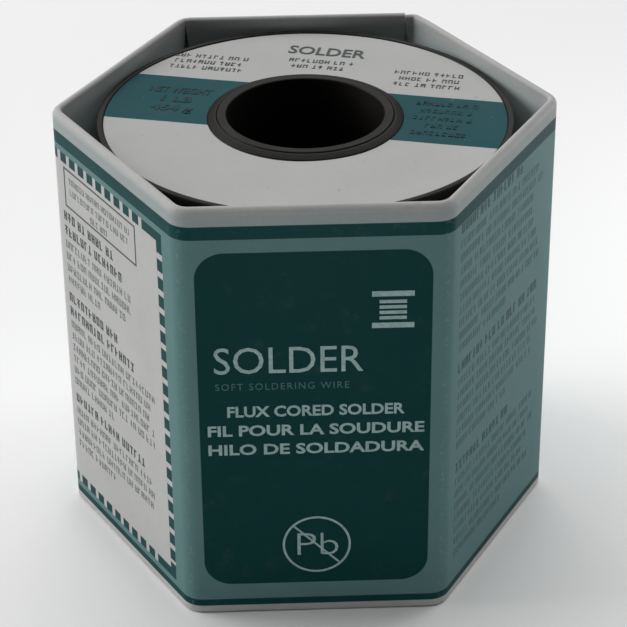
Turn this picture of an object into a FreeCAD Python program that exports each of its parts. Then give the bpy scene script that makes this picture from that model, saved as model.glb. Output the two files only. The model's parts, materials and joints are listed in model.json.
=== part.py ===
import FreeCAD, Part
import math
import os

from FreeCAD import Placement, Rotation, Vector
from Sketcher import Constraint

# A one-pound spool of solder wire, standing in the open hexagonal board sleeve that it is sold in.
#
# Frame: millimetres, +Z up. The origin is the middle of the footprint, on the surface that the
# sleeve and the spool both stand on. One flat side of the sleeve faces -Y, and two of its corners
# lie on the X axis. The spool's bore runs along Z.

# Driving dimensions: alias, value, meaning.
SIZES = [
    ("sleeve_flats", 61.7, "sleeve: outside, from one flat side to the opposite one"),
    ("sleeve_height", 64.7, "sleeve: height over the folds of its hems"),
    ("board", 0.65, "sleeve: thickness of the board"),
    ("corner_radius", 3.2, "sleeve: outer radius of the upright corners"),
    ("corner_drop", 0.3, "sleeve: how far the wall at a corner ends short of the folds"),
    ("flap_width", 31.2, "hem flap: width along its side"),
    ("flap_depth", 11.0, "hem flap: depth from the fold to its free edge"),
    ("flap_corner", 2.0, "hem flap: radius of its two free corners"),
    ("fold_radius", 0.5, "hem flap: radius of the fold's two edges"),
    ("notch_play", 0.2, "wall: how much wider a notch is than the flap in it"),
    ("lap_width", 12.0, "glue lap: width"),
    ("lap_taper", 2.5, "glue lap: how much each end is cut back at its free edge"),
    ("lap_inset", 15.8, "glue lap: from the middle of its side to its folded edge"),
    ("lap_margin", 1.0, "glue lap: gap to the hem flaps above and below it"),
    ("spool_length", 63.2, "spool: overall length, which is the barrel's"),
    ("bore_radius", 11.0, "barrel: radius of the bore"),
    ("barrel_radius", 12.4, "barrel: outer radius"),
    ("barrel_chamfer", 0.25, "barrel: chamfer of both ends, inside and outside"),
    ("flange_radius", 29.1, "flange: outer radius"),
    ("flange_thickness", 2.2, "flange: thickness at the rim"),
    ("flange_inset", 0.5, "flange: from the barrel's end to the rim's outer face"),
    ("rim_width", 0.85, "flange: width of the raised rim round the label"),
    ("rim_fillet", 0.35, "flange: fillet of the rim's outer edges"),
    ("seat_depth", 0.25, "flange: depth of the label's seat below the rim"),
    ("boss_radius", 13.6, "flange: outer radius of the boss round the barrel, at the label's seat"),
    ("boss_slope", 0.9, "flange: how far the boss's side leans in from its foot to its top"),
    ("boss_rise", 0.35, "flange: rise of the boss above the rim"),
    ("boss_fillet", 0.1, "flange: fillet of the boss's top edge"),
    ("label_radius", 28.1, "label: outer radius"),
    ("label_hole", 13.75, "label: radius of the hole round the boss"),
    ("label_thickness", 0.1, "label: thickness"),
    ("winding_radius", 25.5, "winding: outer radius"),
    ("wire_radius", 0.4, "wire: radius"),
    ("wire_play", 0.3, "last turn: gap between it and the winding"),
    ("wire_height", 33.0, "last turn: height of its centreline"),
    ("wire_sweep", 285.0, "last turn: degrees that it goes round the winding"),
    ("wire_start", -70.0, "last turn: azimuth in degrees where it starts"),
    ("wire_tail", 7.0, "last turn: straight free length at its end"),
]

SIDES = 6
SIDE_ANGLE = 360 / SIDES
ALONG_X = Vector(1, 0, 0)
ALONG_Y = Vector(0, 1, 0)
ALONG_Z = Vector(0, 0, 1)

# A sketch's own origin and axes, and the ends of a line in it, as the sketcher numbers them.
ORIGIN = -1
HORIZONTAL_AXIS, VERTICAL_AXIS = -1, -2
START, END, CENTRE = 1, 2, 3

CLOSE = 1e-6


def make_sheet(doc):
    """Write the driving dimensions into a spreadsheet, one alias a row."""
    sheet = doc.addObject("Spreadsheet::Sheet", "sizes")
    for row, (alias, value, meaning) in enumerate(SIZES, start=1):
        sheet.set(f"A{row}", meaning)
        sheet.set(f"B{row}", str(value))
        sheet.setAlias(f"B{row}", alias)
    doc.recompute()


def add_object(doc, kind, label):
    """Add an object whose Label is the sub-part's name."""
    thing = doc.addObject(kind, label)
    thing.Label = label
    return thing


def bind(thing, expressions):
    """Bind properties of an object to expressions over the sheet."""
    for name, expression in expressions.items():
        thing.setExpression(name, expression)


def origin_part(body, role):
    """Return one of the planes or axes of a body's own origin."""
    return next(part for part in body.Origin.OriginFeatures if part.Role == role)


# ---------------------------------------------------------------- sketches


def make_sketch(body, name, plane, height=None):
    """Attach a sketch to an origin plane of its body, raised by an expression if one is given."""
    sketch = body.newObject("Sketcher::SketchObject", name)
    sketch.AttachmentSupport = [(origin_part(body, plane), "")]
    sketch.MapMode = "FlatFace"
    if height is not None:
        bind(sketch, {"AttachmentOffset.Base.z": height})
    return sketch


def add_datum(sketch, name, expression, kind, *where):
    """Add a named dimension to a sketch and bind it to an expression."""
    index = sketch.addConstraint(Constraint(kind, *where, 1.0))
    sketch.renameConstraint(index, name)
    bind(sketch, {f"Constraints.{name}": expression})


def add_loop(sketch, corners):
    """Draw straight lines from corner to corner and join them; return the first line's index."""
    first = sketch.GeometryCount
    for here, there in zip(corners, corners[1:] + corners[:1]):
        sketch.addGeometry(Part.LineSegment(Vector(*here, 0), Vector(*there, 0)), False)
    for line in range(len(corners)):
        after = (line + 1) % len(corners)
        sketch.addConstraint(Constraint("Coincident", first + line, END, first + after, START))
    return first


def add_outline(sketch, corners):
    """Draw a closed outline whose corners are pairs of expressions; None puts one on an axis."""
    first = add_loop(sketch, [(index + 1, index * index + 1) for index in range(len(corners))])
    for line, (across, along) in enumerate(corners, start=first):
        if across is None:
            sketch.addConstraint(Constraint("PointOnObject", line, START, VERTICAL_AXIS))
        else:
            add_datum(sketch, f"across_{line}", across, "DistanceX", ORIGIN, START, line, START)
        if along is None:
            sketch.addConstraint(Constraint("PointOnObject", line, START, HORIZONTAL_AXIS))
        else:
            add_datum(sketch, f"along_{line}", along, "DistanceY", ORIGIN, START, line, START)


def add_hexagon(sketch, apothem):
    """Draw a regular hexagon with two corners on the sketch's horizontal axis."""
    reach = 30
    angles = [math.radians(SIDE_ANGLE * side) for side in range(SIDES)]
    first = add_loop(sketch, [(reach * math.cos(a), reach * math.sin(a)) for a in angles])
    circle = sketch.addGeometry(Part.Circle(Vector(0, 0, 0), ALONG_Z, reach), True)
    sketch.addConstraint(Constraint("Coincident", circle, CENTRE, ORIGIN, START))
    for side in range(SIDES):
        sketch.addConstraint(Constraint("PointOnObject", first + side, START, circle))
    for side in range(1, SIDES):
        sketch.addConstraint(Constraint("Equal", first, first + side))
    sketch.addConstraint(Constraint("Horizontal", first + 1))
    add_datum(sketch, "circumradius", f"({apothem}) / cos({SIDE_ANGLE / 2})", "Radius", circle)


def add_rectangle(sketch, width, near, far):
    """Draw a rectangle centred on the vertical axis, from near to far along it."""
    first = add_loop(sketch, [(-15, 29), (15, 29), (15, 32), (-15, 32)])
    bottom, right, top, left = range(first, first + 4)
    sketch.addConstraint(Constraint("Symmetric", bottom, START, bottom, END, VERTICAL_AXIS))
    sketch.addConstraint(Constraint("Vertical", right))
    sketch.addConstraint(Constraint("Horizontal", top))
    sketch.addConstraint(Constraint("Vertical", left))
    add_datum(sketch, "width", width, "DistanceX", bottom, START, bottom, END)
    add_datum(sketch, "near", near, "DistanceY", ORIGIN, START, bottom, START)
    add_datum(sketch, "far", far, "DistanceY", ORIGIN, START, top, START)


def add_ring(sketch, outer, inner):
    """Draw two circles about the origin."""
    for name, radius, guess in (("outer", outer, 20), ("inner", inner, 10)):
        circle = sketch.addGeometry(Part.Circle(Vector(0, 0, 0), ALONG_Z, guess), False)
        sketch.addConstraint(Constraint("Coincident", circle, CENTRE, ORIGIN, START))
        add_datum(sketch, name, radius, "Radius", circle)


# ---------------------------------------------------------------- features


def add_pad(body, sketch, length, centred=False):
    """Pad a sketch by an expression."""
    pad = body.newObject("PartDesign::Pad", "pad")
    pad.Profile = sketch
    pad.Midplane = centred
    bind(pad, {"Length": length})


def add_pocket(body, sketch, depth, upwards=False):
    """Cut a sketch into the body, downwards or upwards from its plane."""
    pocket = body.newObject("PartDesign::Pocket", "pocket")
    pocket.Profile = sketch
    pocket.Reversed = upwards
    bind(pocket, {"Length": depth})
    return pocket


def add_pattern(body, features):
    """Repeat features once on each side, about Z."""
    pattern = body.newObject("PartDesign::PolarPattern", "each_side")
    pattern.Originals = features
    pattern.Axis = (origin_part(body, "Z_Axis"), [""])
    pattern.Angle = 360
    pattern.Occurrences = SIDES
    body.Tip = pattern


def dress_edges(body, kind, size, wanted):
    """Fillet or chamfer the edges of the body's tip that the function wanted accepts."""
    body.Document.recompute()
    tip = body.Tip
    edges = enumerate(tip.Shape.Edges, start=1)
    names = [f"Edge{index}" for index, edge in edges if wanted(edge)]
    feature = body.newObject(f"PartDesign::{kind}", kind.lower())
    feature.Base = (tip, names)
    bind(feature, {"Radius" if kind == "Fillet" else "Size": size})


def is_upright(edge):
    """True for a straight edge along Z."""
    box = edge.BoundBox
    return box.ZLength > CLOSE > box.XLength + box.YLength


def is_on_corner(edge):
    """True for an upright edge at the azimuth of one of the sleeve's corners."""
    azimuth = math.degrees(math.atan2(edge.BoundBox.YMin, edge.BoundBox.XMin))
    off_corner = azimuth / SIDE_ANGLE - round(azimuth / SIDE_ANGLE)
    return is_upright(edge) and abs(off_corner) < CLOSE


def is_circle(edge, radius, height):
    """True for a circle of a radius at a height."""
    curve = edge.Curve
    if not isinstance(curve, Part.Circle):
        return False
    return abs(curve.Radius - radius) < CLOSE and abs(curve.Center.z - height) < CLOSE


# ---------------------------------------------------------------- the sleeve


def make_wall(doc):
    """The six-sided wall: a tube with rounded corners, notched where the hems fold over it."""
    body = add_object(doc, "PartDesign::Body", "sleeve_wall")
    outside = make_sketch(body, "outside", "XY_Plane", "sizes.corner_drop")
    add_hexagon(outside, "sizes.sleeve_flats / 2")
    add_pad(body, outside, "sizes.sleeve_height - 2 * sizes.corner_drop")
    dress_edges(body, "Fillet", "sizes.corner_radius", is_on_corner)

    inside = make_sketch(body, "inside", "XY_Plane")
    add_hexagon(inside, "sizes.sleeve_flats / 2 - sizes.board")
    add_pocket(body, inside, "sizes.sleeve_height", upwards=True)
    dress_edges(body, "Fillet", "sizes.corner_radius - sizes.board", is_on_corner)

    notches = []
    for name, height, upwards in (("top", "sizes.sleeve_height", False), ("base", None, True)):
        sketch = make_sketch(body, f"{name}_notch", "XY_Plane", height)
        side = "sizes.sleeve_flats / 2"
        width = "sizes.flap_width + sizes.notch_play"
        add_rectangle(sketch, width, f"{side} - 2 * sizes.board", f"{side} + sizes.board")
        notches.append(add_pocket(body, sketch, "sizes.board", upwards))
    add_pattern(body, notches)
    return body


def make_flap(doc, label, rotation, at_base):
    """One hem flap: the fold over the wall's edge and the leg that runs down inside the wall.

    It is drawn on the +Y side at the top, turned over for the base, then turned to its side.
    """
    body = add_object(doc, "PartDesign::Body", label)
    outer = "sizes.sleeve_flats / 2"
    top = "sizes.sleeve_height"
    profile = make_sketch(body, "profile", "YZ_Plane")
    add_outline(profile, [
        (outer, f"{top} - sizes.board"),
        (outer, top),
        (f"{outer} - 2 * sizes.board", top),
        (f"{outer} - 2 * sizes.board", f"{top} - sizes.flap_depth"),
        (f"{outer} - sizes.board", f"{top} - sizes.flap_depth"),
        (f"{outer} - sizes.board", f"{top} - sizes.board"),
    ])
    add_pad(body, profile, "sizes.flap_width", centred=True)

    sizes = doc.sizes
    fold_height = sizes.sleeve_height
    free_height = sizes.sleeve_height - sizes.flap_depth

    def is_fold_edge(edge):
        box = edge.BoundBox
        return box.XLength > CLOSE and abs(box.ZMin - fold_height) < CLOSE

    def is_free_corner(edge):
        box = edge.BoundBox
        return box.XLength < CLOSE and abs(box.ZMax - free_height) < CLOSE

    dress_edges(body, "Fillet", "sizes.fold_radius", is_fold_edge)
    dress_edges(body, "Fillet", "sizes.flap_corner", is_free_corner)

    if at_base:
        turned_over = Placement(Vector(0, 0, sizes.sleeve_height), Rotation(ALONG_Y, 180))
    else:
        turned_over = Placement()
    body.Placement = Placement(Vector(), rotation) * turned_over
    return body


def make_glue_lap(doc):
    """The lap that closes the blank into a tube, glued inside a wall between two hem flaps."""
    body = add_object(doc, "PartDesign::Body", "glue_lap")
    inner = "sizes.sleeve_flats / 2 - sizes.board"
    low = "sizes.flap_depth + sizes.lap_margin"
    high = f"sizes.sleeve_height - ({low})"
    folded = "sizes.lap_inset"
    free = "sizes.lap_inset - sizes.lap_width"
    outline = make_sketch(body, "outline", "XZ_Plane", f"-({inner})")
    add_outline(outline, [
        (folded, low),
        (folded, high),
        (free, f"{high} - sizes.lap_taper"),
        (free, f"{low} + sizes.lap_taper"),
    ])
    add_pad(body, outline, "sizes.board")
    return body


# ---------------------------------------------------------------- the spool


def make_barrel(doc):
    """The tube that the wire is wound on; its ends stand proud of both flanges."""
    body = add_object(doc, "PartDesign::Body", "core_barrel")
    section = make_sketch(body, "section", "XY_Plane")
    add_ring(section, "sizes.barrel_radius", "sizes.bore_radius")
    add_pad(body, section, "sizes.spool_length")
    dress_edges(body, "Chamfer", "sizes.barrel_chamfer", lambda edge: not is_upright(edge))
    return body


def make_flange(doc, label, placement, height):
    """One flange, drawn with its winding face on z = 0 and its label's side up."""
    body = add_object(doc, "PartDesign::Body", label)
    rim = "sizes.flange_radius - sizes.rim_width"
    face = "sizes.flange_thickness"
    seat = f"{face} - sizes.seat_depth"
    boss = f"{face} + sizes.boss_rise"
    profile = make_sketch(body, "profile", "XZ_Plane")
    add_outline(profile, [
        ("sizes.barrel_radius", None),
        ("sizes.flange_radius", None),
        ("sizes.flange_radius", face),
        (rim, face),
        (rim, seat),
        ("sizes.boss_radius", seat),
        ("sizes.boss_radius - sizes.boss_slope", boss),
        ("sizes.barrel_radius", boss),
    ])
    turn = body.newObject("PartDesign::Revolution", "turn")
    turn.Profile = profile
    turn.ReferenceAxis = (profile, ["V_Axis"])
    turn.Angle = 360

    sizes = doc.sizes
    boss_height = sizes.flange_thickness + sizes.boss_rise

    def is_rim_edge(edge):
        heights = (0, sizes.flange_thickness)
        return any(is_circle(edge, sizes.flange_radius, height) for height in heights)

    def is_boss_edge(edge):
        return is_circle(edge, sizes.boss_radius - sizes.boss_slope, boss_height)

    dress_edges(body, "Fillet", "sizes.rim_fillet", is_rim_edge)
    dress_edges(body, "Fillet", "sizes.boss_fillet", is_boss_edge)
    body.Placement = placement
    bind(body, {"Placement.Base.z": height})
    return body


def make_winding(doc):
    """The wound wire as one solid: it fills the space between the flanges, from the barrel out."""
    body = add_object(doc, "PartDesign::Body", "wire_winding")
    section = make_sketch(body, "section", "XY_Plane", "sizes.flange_inset + sizes.flange_thickness")
    add_ring(section, "sizes.winding_radius", "sizes.barrel_radius")
    flange_reach = "2 * (sizes.flange_inset + sizes.flange_thickness)"
    add_pad(body, section, f"sizes.spool_length - {flange_reach}")

    def is_outer_edge(edge):
        radius = doc.sizes.winding_radius
        return isinstance(edge.Curve, Part.Circle) and abs(edge.Curve.Radius - radius) < CLOSE

    dress_edges(body, "Fillet", "sizes.wire_radius", is_outer_edge)
    return body


def make_wire_end(doc):
    """The last turn of wire, drawn as an arc clear of the winding, and its straight free end."""
    centreline = "sizes.winding_radius + sizes.wire_play + sizes.wire_radius"
    turn = doc.addObject("Part::Torus", "last_turn")
    bind(turn, {
        "Radius1": centreline,
        "Radius2": "sizes.wire_radius",
        "Angle3": "sizes.wire_sweep",
        "Placement.Base.z": "sizes.wire_height",
    })
    tail = doc.addObject("Part::Cylinder", "free_end")
    bind(tail, {
        "Radius": "sizes.wire_radius",
        "Height": "sizes.wire_tail",
        "Placement.Base.x": f"({centreline}) * cos(sizes.wire_sweep)",
        "Placement.Base.y": f"({centreline}) * sin(sizes.wire_sweep)",
        "Placement.Base.z": "sizes.wire_height",
    })
    sweep = doc.sizes.wire_sweep
    tail.Placement.Rotation = Rotation(ALONG_Z, sweep) * Rotation(ALONG_X, -90)
    wire = add_object(doc, "Part::MultiFuse", "wire_end")
    wire.Shapes = [turn, tail]
    wire.Refine = True
    wire.Placement = Placement(Vector(), Rotation(ALONG_Z, doc.sizes.wire_start))
    return wire


def make_label(doc, label, height):
    """One round paper label, in the seat of its flange."""
    pieces = []
    for name, radius in (("disc", "sizes.label_radius"), ("hole", "sizes.label_hole")):
        cylinder = doc.addObject("Part::Cylinder", f"{label}_{name}")
        bind(cylinder, {"Radius": radius, "Height": "sizes.label_thickness"})
        pieces.append(cylinder)
    ring = add_object(doc, "Part::Cut", label)
    ring.Base, ring.Tool = pieces
    bind(ring, {"Placement.Base.z": height})
    return ring


# ---------------------------------------------------------------- the whole


def make_parts(doc):
    """Build every sub-part and return them."""
    parts = [make_wall(doc), make_glue_lap(doc)]
    for place, at_base in (("top", False), ("bottom", True)):
        for side in range(SIDES):
            rotation = Rotation(ALONG_Z, SIDE_ANGLE * side)
            parts.append(make_flap(doc, f"{place}_flap_{side + 1}", rotation, at_base))

    flange_reach = "sizes.flange_inset + sizes.flange_thickness"
    lower_seat = "sizes.flange_inset + sizes.seat_depth"
    label_top = f"sizes.spool_length - ({lower_seat})"
    upright = Placement()
    upside_down = Placement(Vector(), Rotation(ALONG_X, 180))
    parts += [
        make_barrel(doc),
        make_flange(doc, "upper_flange", upright, f"sizes.spool_length - ({flange_reach})"),
        make_flange(doc, "lower_flange", upside_down, flange_reach),
        make_winding(doc),
        make_wire_end(doc),
        make_label(doc, "top_label", label_top),
        make_label(doc, "bottom_label", f"{lower_seat} - sizes.label_thickness"),
    ]
    return parts


def check_document(doc, parts):
    """Stop if any object failed or any sub-part is not one valid solid."""
    for thing in doc.Objects:
        if {"Invalid", "Error"} & set(thing.State):
            raise RuntimeError(f"{thing.Name}: {thing.State}")
    for part in parts:
        shape = part.Shape
        if shape.isNull() or not shape.isValid() or len(shape.Solids) != 1:
            raise RuntimeError(f"{part.Label}: not one valid solid")


def main():
    doc = FreeCAD.newDocument("solder_wire_spool")
    make_sheet(doc)
    parts = make_parts(doc)
    doc.recompute()
    check_document(doc, parts)
    os.makedirs("parts", exist_ok=True)
    for part in parts:
        part.Shape.exportStep(os.path.join("parts", f"{part.Label}.step"))
        box = part.Shape.BoundBox
        print(f"{part.Label}: {part.Shape.Volume:.1f} mm3, z {box.ZMin:.2f} to {box.ZMax:.2f}")


main()
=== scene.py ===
import json
import math
import random

import bmesh
import bpy
from mathutils import Matrix, Vector, noise


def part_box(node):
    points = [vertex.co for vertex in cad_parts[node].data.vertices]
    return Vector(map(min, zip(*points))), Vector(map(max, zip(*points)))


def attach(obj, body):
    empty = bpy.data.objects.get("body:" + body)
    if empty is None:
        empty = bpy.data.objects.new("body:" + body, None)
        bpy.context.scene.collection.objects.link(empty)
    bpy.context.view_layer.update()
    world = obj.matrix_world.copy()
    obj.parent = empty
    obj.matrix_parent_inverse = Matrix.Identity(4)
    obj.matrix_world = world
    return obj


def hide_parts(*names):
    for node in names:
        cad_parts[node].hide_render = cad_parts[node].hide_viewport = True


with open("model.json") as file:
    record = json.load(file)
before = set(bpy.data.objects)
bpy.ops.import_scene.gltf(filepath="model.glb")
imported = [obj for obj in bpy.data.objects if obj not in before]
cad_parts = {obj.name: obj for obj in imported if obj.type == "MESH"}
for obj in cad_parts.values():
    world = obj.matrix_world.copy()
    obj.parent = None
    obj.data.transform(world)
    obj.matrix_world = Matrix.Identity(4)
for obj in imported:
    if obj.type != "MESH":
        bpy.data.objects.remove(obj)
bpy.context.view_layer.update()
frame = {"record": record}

# A spool of solder wire in its open hexagonal board sleeve.
#
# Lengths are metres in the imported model's frame: +Z up, the origin in the middle of the footprint,
# the front of the sleeve facing -Y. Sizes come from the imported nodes. What they can't say, such as
# where the print lies, is given in millimetres times MM. Only Print takes plain millimetres.

MM = 0.001
TAU = 2 * math.pi
SIDES = 6
SIXTH = TAU / SIDES

# ---------------- sizes from the frame

wall_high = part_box("sleeve_wall")[1]
hem_low, hem_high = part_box("top_flap_1")
lap_low, lap_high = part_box("glue_lap")
flange_low, flange_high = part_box("upper_flange")
base_low, base_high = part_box("lower_flange")
label_low, label_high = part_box("top_label")
base_label_low, base_label_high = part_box("bottom_label")
winding_low, winding_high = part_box("wire_winding")
end_low, end_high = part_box("wire_end")
barrel_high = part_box("core_barrel")[1]

APOTHEM = wall_high.y
HEIGHT = hem_high.z
BOARD = (hem_high.y - hem_low.y) / 2
HEM_HALF = hem_high.x
HEM_DEPTH = hem_high.z - hem_low.z
CIRCUMRADIUS = APOTHEM / math.cos(SIXTH / 2)
CORNER_RADIUS = 3.2 * MM
FLAT_HALF = (APOTHEM - CORNER_RADIUS) * math.tan(SIXTH / 2)
PITCH = 2 * FLAT_HALF + CORNER_RADIUS * SIXTH  # one side of the blank, corner middle to middle

mounts = {entry["name"]: entry for entry in frame["record"]["mounts"]}
BORE_RADIUS = mounts["spindle_bore"]["dims"]["r_mm"] * MM
BARREL_RADIUS = barrel_high.x
FLANGE_RADIUS = flange_high.x
LABEL_RADIUS = label_high.x
WINDING_RADIUS = winding_high.x
WIRE_RADIUS = (end_high.z - end_low.z) / 2
SPOOL_LENGTH = barrel_high.z

# The sides of the blank, counted to the right from the front. Its seam is the corner between the
# back, where it starts, and the back right, where it ends.
BACK, BACK_LEFT, LEFT, FRONT, RIGHT, BACK_RIGHT = range(-3, 3)
INK_LIFT = 0.03 * MM  # the printed marks stand this far out of the coated face


# ---------------- shader nodes

PRINT_BLUR = 0.04 * MM  # half the width of a printed edge


class Shader:
    """A material's node tree, with a short call for each kind of node that is used here."""

    def __init__(self, name, **settings):
        self.material = bpy.data.materials.new(name)
        self.material.use_nodes = True
        self.tree = self.material.node_tree
        self.principled = self.tree.nodes["Principled BSDF"]
        self.position = self.node("TexCoord").outputs["Object"]
        self.set(**settings)

    def node(self, kind, inputs=(), **settings):
        node = self.tree.nodes.new("ShaderNode" + kind)
        for key, value in settings.items():
            setattr(node, key, value)
        for key, value in dict(inputs).items():
            self.feed(node.inputs[key], value)
        return node

    def feed(self, socket, value):
        if isinstance(value, bpy.types.NodeSocket):
            self.tree.links.new(value, socket)
        else:
            socket.default_value = value

    def math(self, operation, *values):
        return self.node("Math", enumerate(values), operation=operation).outputs[0]

    def add(self, *values):
        total = values[0]
        for value in values[1:]:
            total = self.math("ADD", total, value)
        return total

    def product(self, *values):
        result = values[0]
        for value in values[1:]:
            result = self.math("MULTIPLY", result, value)
        return result

    def less(self, value, other):
        return self.math("SUBTRACT", value, other)

    def away(self, value, other):
        """How far the value is from the other, either way."""
        return self.math("ABSOLUTE", self.less(value, other))

    def surface(self, layer):
        """The two coordinates of a UV layer, which are metres along the real surface."""
        return self.parts(self.node("UVMap", uv_map=layer).outputs[0])[:2]

    def point(self, x, y):
        return self.node("CombineXYZ", {0: x, 1: y}).outputs[0]

    def parts(self, vector):
        return self.node("SeparateXYZ", {0: vector}).outputs

    def noise(self, size, detail=3.0, roughness=0.5, vector=None):
        """Noise from 0 to 1, fixed to the piece, whose features are about size metres across."""
        inputs = {"Scale": 1 / size, "Detail": detail, "Roughness": roughness}
        inputs["Vector"] = vector or self.position
        return self.node("TexNoise", inputs).outputs[0]

    def ramp(self, value, low, high, at_low=0.0, at_high=1.0):
        """A straight ramp between two values of the input, level outside them."""
        inputs = {0: value, 1: low, 2: high, 3: at_low, 4: at_high}
        return self.node("MapRange", inputs).outputs[0]

    def vary(self, clouds, at_low, at_high):
        """Noise stretched over the middle of its range, where nearly all of its values lie."""
        return self.ramp(clouds, 0.3, 0.7, at_low, at_high)

    def above(self, value, edge):
        return self.ramp(value, edge - PRINT_BLUR, edge + PRINT_BLUR)

    def below(self, value, edge):
        return self.less(1.0, self.above(value, edge))

    def between(self, value, low, high):
        return self.product(self.above(value, low), self.below(value, high))

    def choose(self, factor, first, second):
        """The first number where the factor is 0, and the second where it is 1."""
        inputs = {0: factor, 2: first, 3: second}
        return self.node("Mix", inputs, data_type="FLOAT").outputs[0]

    def mix(self, factor, first, second):
        """The first colour where the factor is 0, and the second where it is 1."""
        inputs = {0: factor, 6: first, 7: second}
        return self.node("Mix", inputs, data_type="RGBA").outputs[2]

    def shaded(self, tone, amount):
        """The colour times the amount."""
        tone = tone[:3] if isinstance(tone, tuple) else tone
        return self.node("VectorMath", {0: tone, 3: amount}, operation="SCALE").outputs[0]

    def bump(self, height, distance, base=None):
        inputs = {"Height": height, "Distance": distance, "Strength": 1.0}
        if base is not None:
            inputs["Normal"] = base
        return self.node("Bump", inputs).outputs[0]

    def set(self, **inputs):
        """Sets inputs of the surface, whose names have _ for each space; returns the material."""
        for socket, value in inputs.items():
            self.feed(self.principled.inputs[socket.replace("_", " ")], value)
        return self.material


def rgb(red, green, blue):
    return (red, green, blue, 1.0)


PAPER = rgb(0.456, 0.461, 0.452)  # the white of the sleeve's coating and of the labels
MARGIN_SHADE = rgb(0.31, 0.35, 0.345)  # painted shade: the margin above the top stripe, darker and bluer than the paper
FOLD_HIGHLIGHT = rgb(0.47, 0.47, 0.46)  # painted highlight: lighter paper along the top and base folds
LEG_TINT_AND_LIGHT = rgb(0.50, 0.58, 0.575)  # painted light: a teal tint, lighter than the paper, on the hems' inner legs
TINT = rgb(0.107, 0.207, 0.207)
STRIPE_TEAL = rgb(0.00526, 0.0509, 0.0544)
PANEL_TEAL = rgb(0.0018, 0.041, 0.0405)
BAND_TEAL = rgb(0.0105, 0.0737, 0.086)
SOIL = rgb(0.20, 0.19, 0.165)
GREY_BOARD = rgb(0.377, 0.395, 0.382)
CUT_BOARD = rgb(0.439, 0.439, 0.421)
FLECK = rgb(0.09, 0.08, 0.065)
SPECK = rgb(0.22, 0.21, 0.19)
PLASTIC_DARK = rgb(0.0068, 0.0060, 0.0050)
PLASTIC_PALE = rgb(0.0120, 0.0106, 0.0090)
PLASTIC_RUB = rgb(0.030, 0.027, 0.024)
DUST = rgb(0.08, 0.075, 0.067)
SOLDER_BRIGHT = rgb(0.62, 0.62, 0.605)
SOLDER_DULL = rgb(0.43, 0.43, 0.425)
FLUX_DARK = rgb(0.33, 0.13, 0.02)
FLUX_PALE = rgb(0.52, 0.26, 0.06)
FLOOR_WHITE = rgb(0.93, 0.93, 0.93)


# ---------------- the print on the sleeve, and the light and shade painted over it

TOP_STRIPE = (HEIGHT - 4.56 * MM, HEIGHT - 2.56 * MM)
BASE_STRIPE = (1.3 * MM, 2.43 * MM)
PANEL_HALF = (15.6 * MM, 26.6 * MM)
PANEL_MIDDLE = 31.6 * MM
PANEL_CORNER = 3.9 * MM
NOTICE_HALF = (PITCH / 2 + 13.9 * MM, 28.0 * MM)
NOTICE_MIDDLE = 31.3 * MM
NOTICE_ACROSS = (BACK_LEFT + 0.5) * PITCH
BORDER = 1.5 * MM
DASH = 1.85 * MM
DASH_PITCH = 2.76 * MM
DASH_SQUEEZE = 1.055  # the dashes along the ends are this much closer together
CORNER_DASH = (4.3 * MM, 2.58 * MM)  # how far a corner's dash reaches along each border


def box_distance(shader, across, up, half, corner):
    """How far a point is outside a rounded box round zero; negative inside it."""
    beyond = [
        shader.less(shader.math("ABSOLUTE", value), reach - corner)
        for value, reach in ((across, half[0]), (up, half[1]))
    ]
    outside = [shader.math("MAXIMUM", value, 0.0) for value in beyond]
    length = shader.math("SQRT", shader.add(*[shader.product(v, v) for v in outside]))
    inside = shader.math("MINIMUM", shader.math("MAXIMUM", *beyond), 0.0)
    return shader.add(length, inside, -corner)


def dashed_notice(shader, print_, across, up):
    """The white notice with its dashed border, round the corner between the left and back left."""
    across = shader.less(across, NOTICE_ACROSS)
    up = shader.less(up, NOTICE_MIDDLE)
    distance = box_distance(shader, across, up, NOTICE_HALF, 0.1 * MM)
    inside = shader.below(distance, 0.0)
    border = shader.product(inside, shader.above(distance, -BORDER))
    from_side = shader.less(NOTICE_HALF[0], shader.math("ABSOLUTE", across))
    from_end = shader.less(NOTICE_HALF[1], shader.math("ABSOLUTE", up))
    on_flank = shader.below(from_side, BORDER)
    along = shader.choose(on_flank, shader.product(across, DASH_SQUEEZE), up)
    dash = shader.below(shader.math("FLOORED_MODULO", along, DASH_PITCH), DASH)
    at_side = shader.below(from_side, CORNER_DASH[0])
    corner = shader.product(at_side, shader.below(from_end, CORNER_DASH[1]))
    print_ = shader.mix(inside, print_, PAPER)
    marks = shader.product(border, shader.math("MAXIMUM", dash, corner))
    return shader.mix(marks, print_, STRIPE_TEAL)


def front_panel(shader, print_, across, up):
    """The dark rounded panel in the middle of the front and of the back."""
    half_way = PITCH * SIDES / 4  # a panel's middle to halfway between the two panels
    from_middle = shader.math("FLOORED_MODULO", shader.add(across, half_way), 2 * half_way)
    from_middle = shader.less(from_middle, half_way)
    up = shader.less(up, PANEL_MIDDLE)
    distance = box_distance(shader, from_middle, up, PANEL_HALF, PANEL_CORNER)
    return shader.mix(shader.below(distance, 0.0), print_, PANEL_TEAL)


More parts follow.
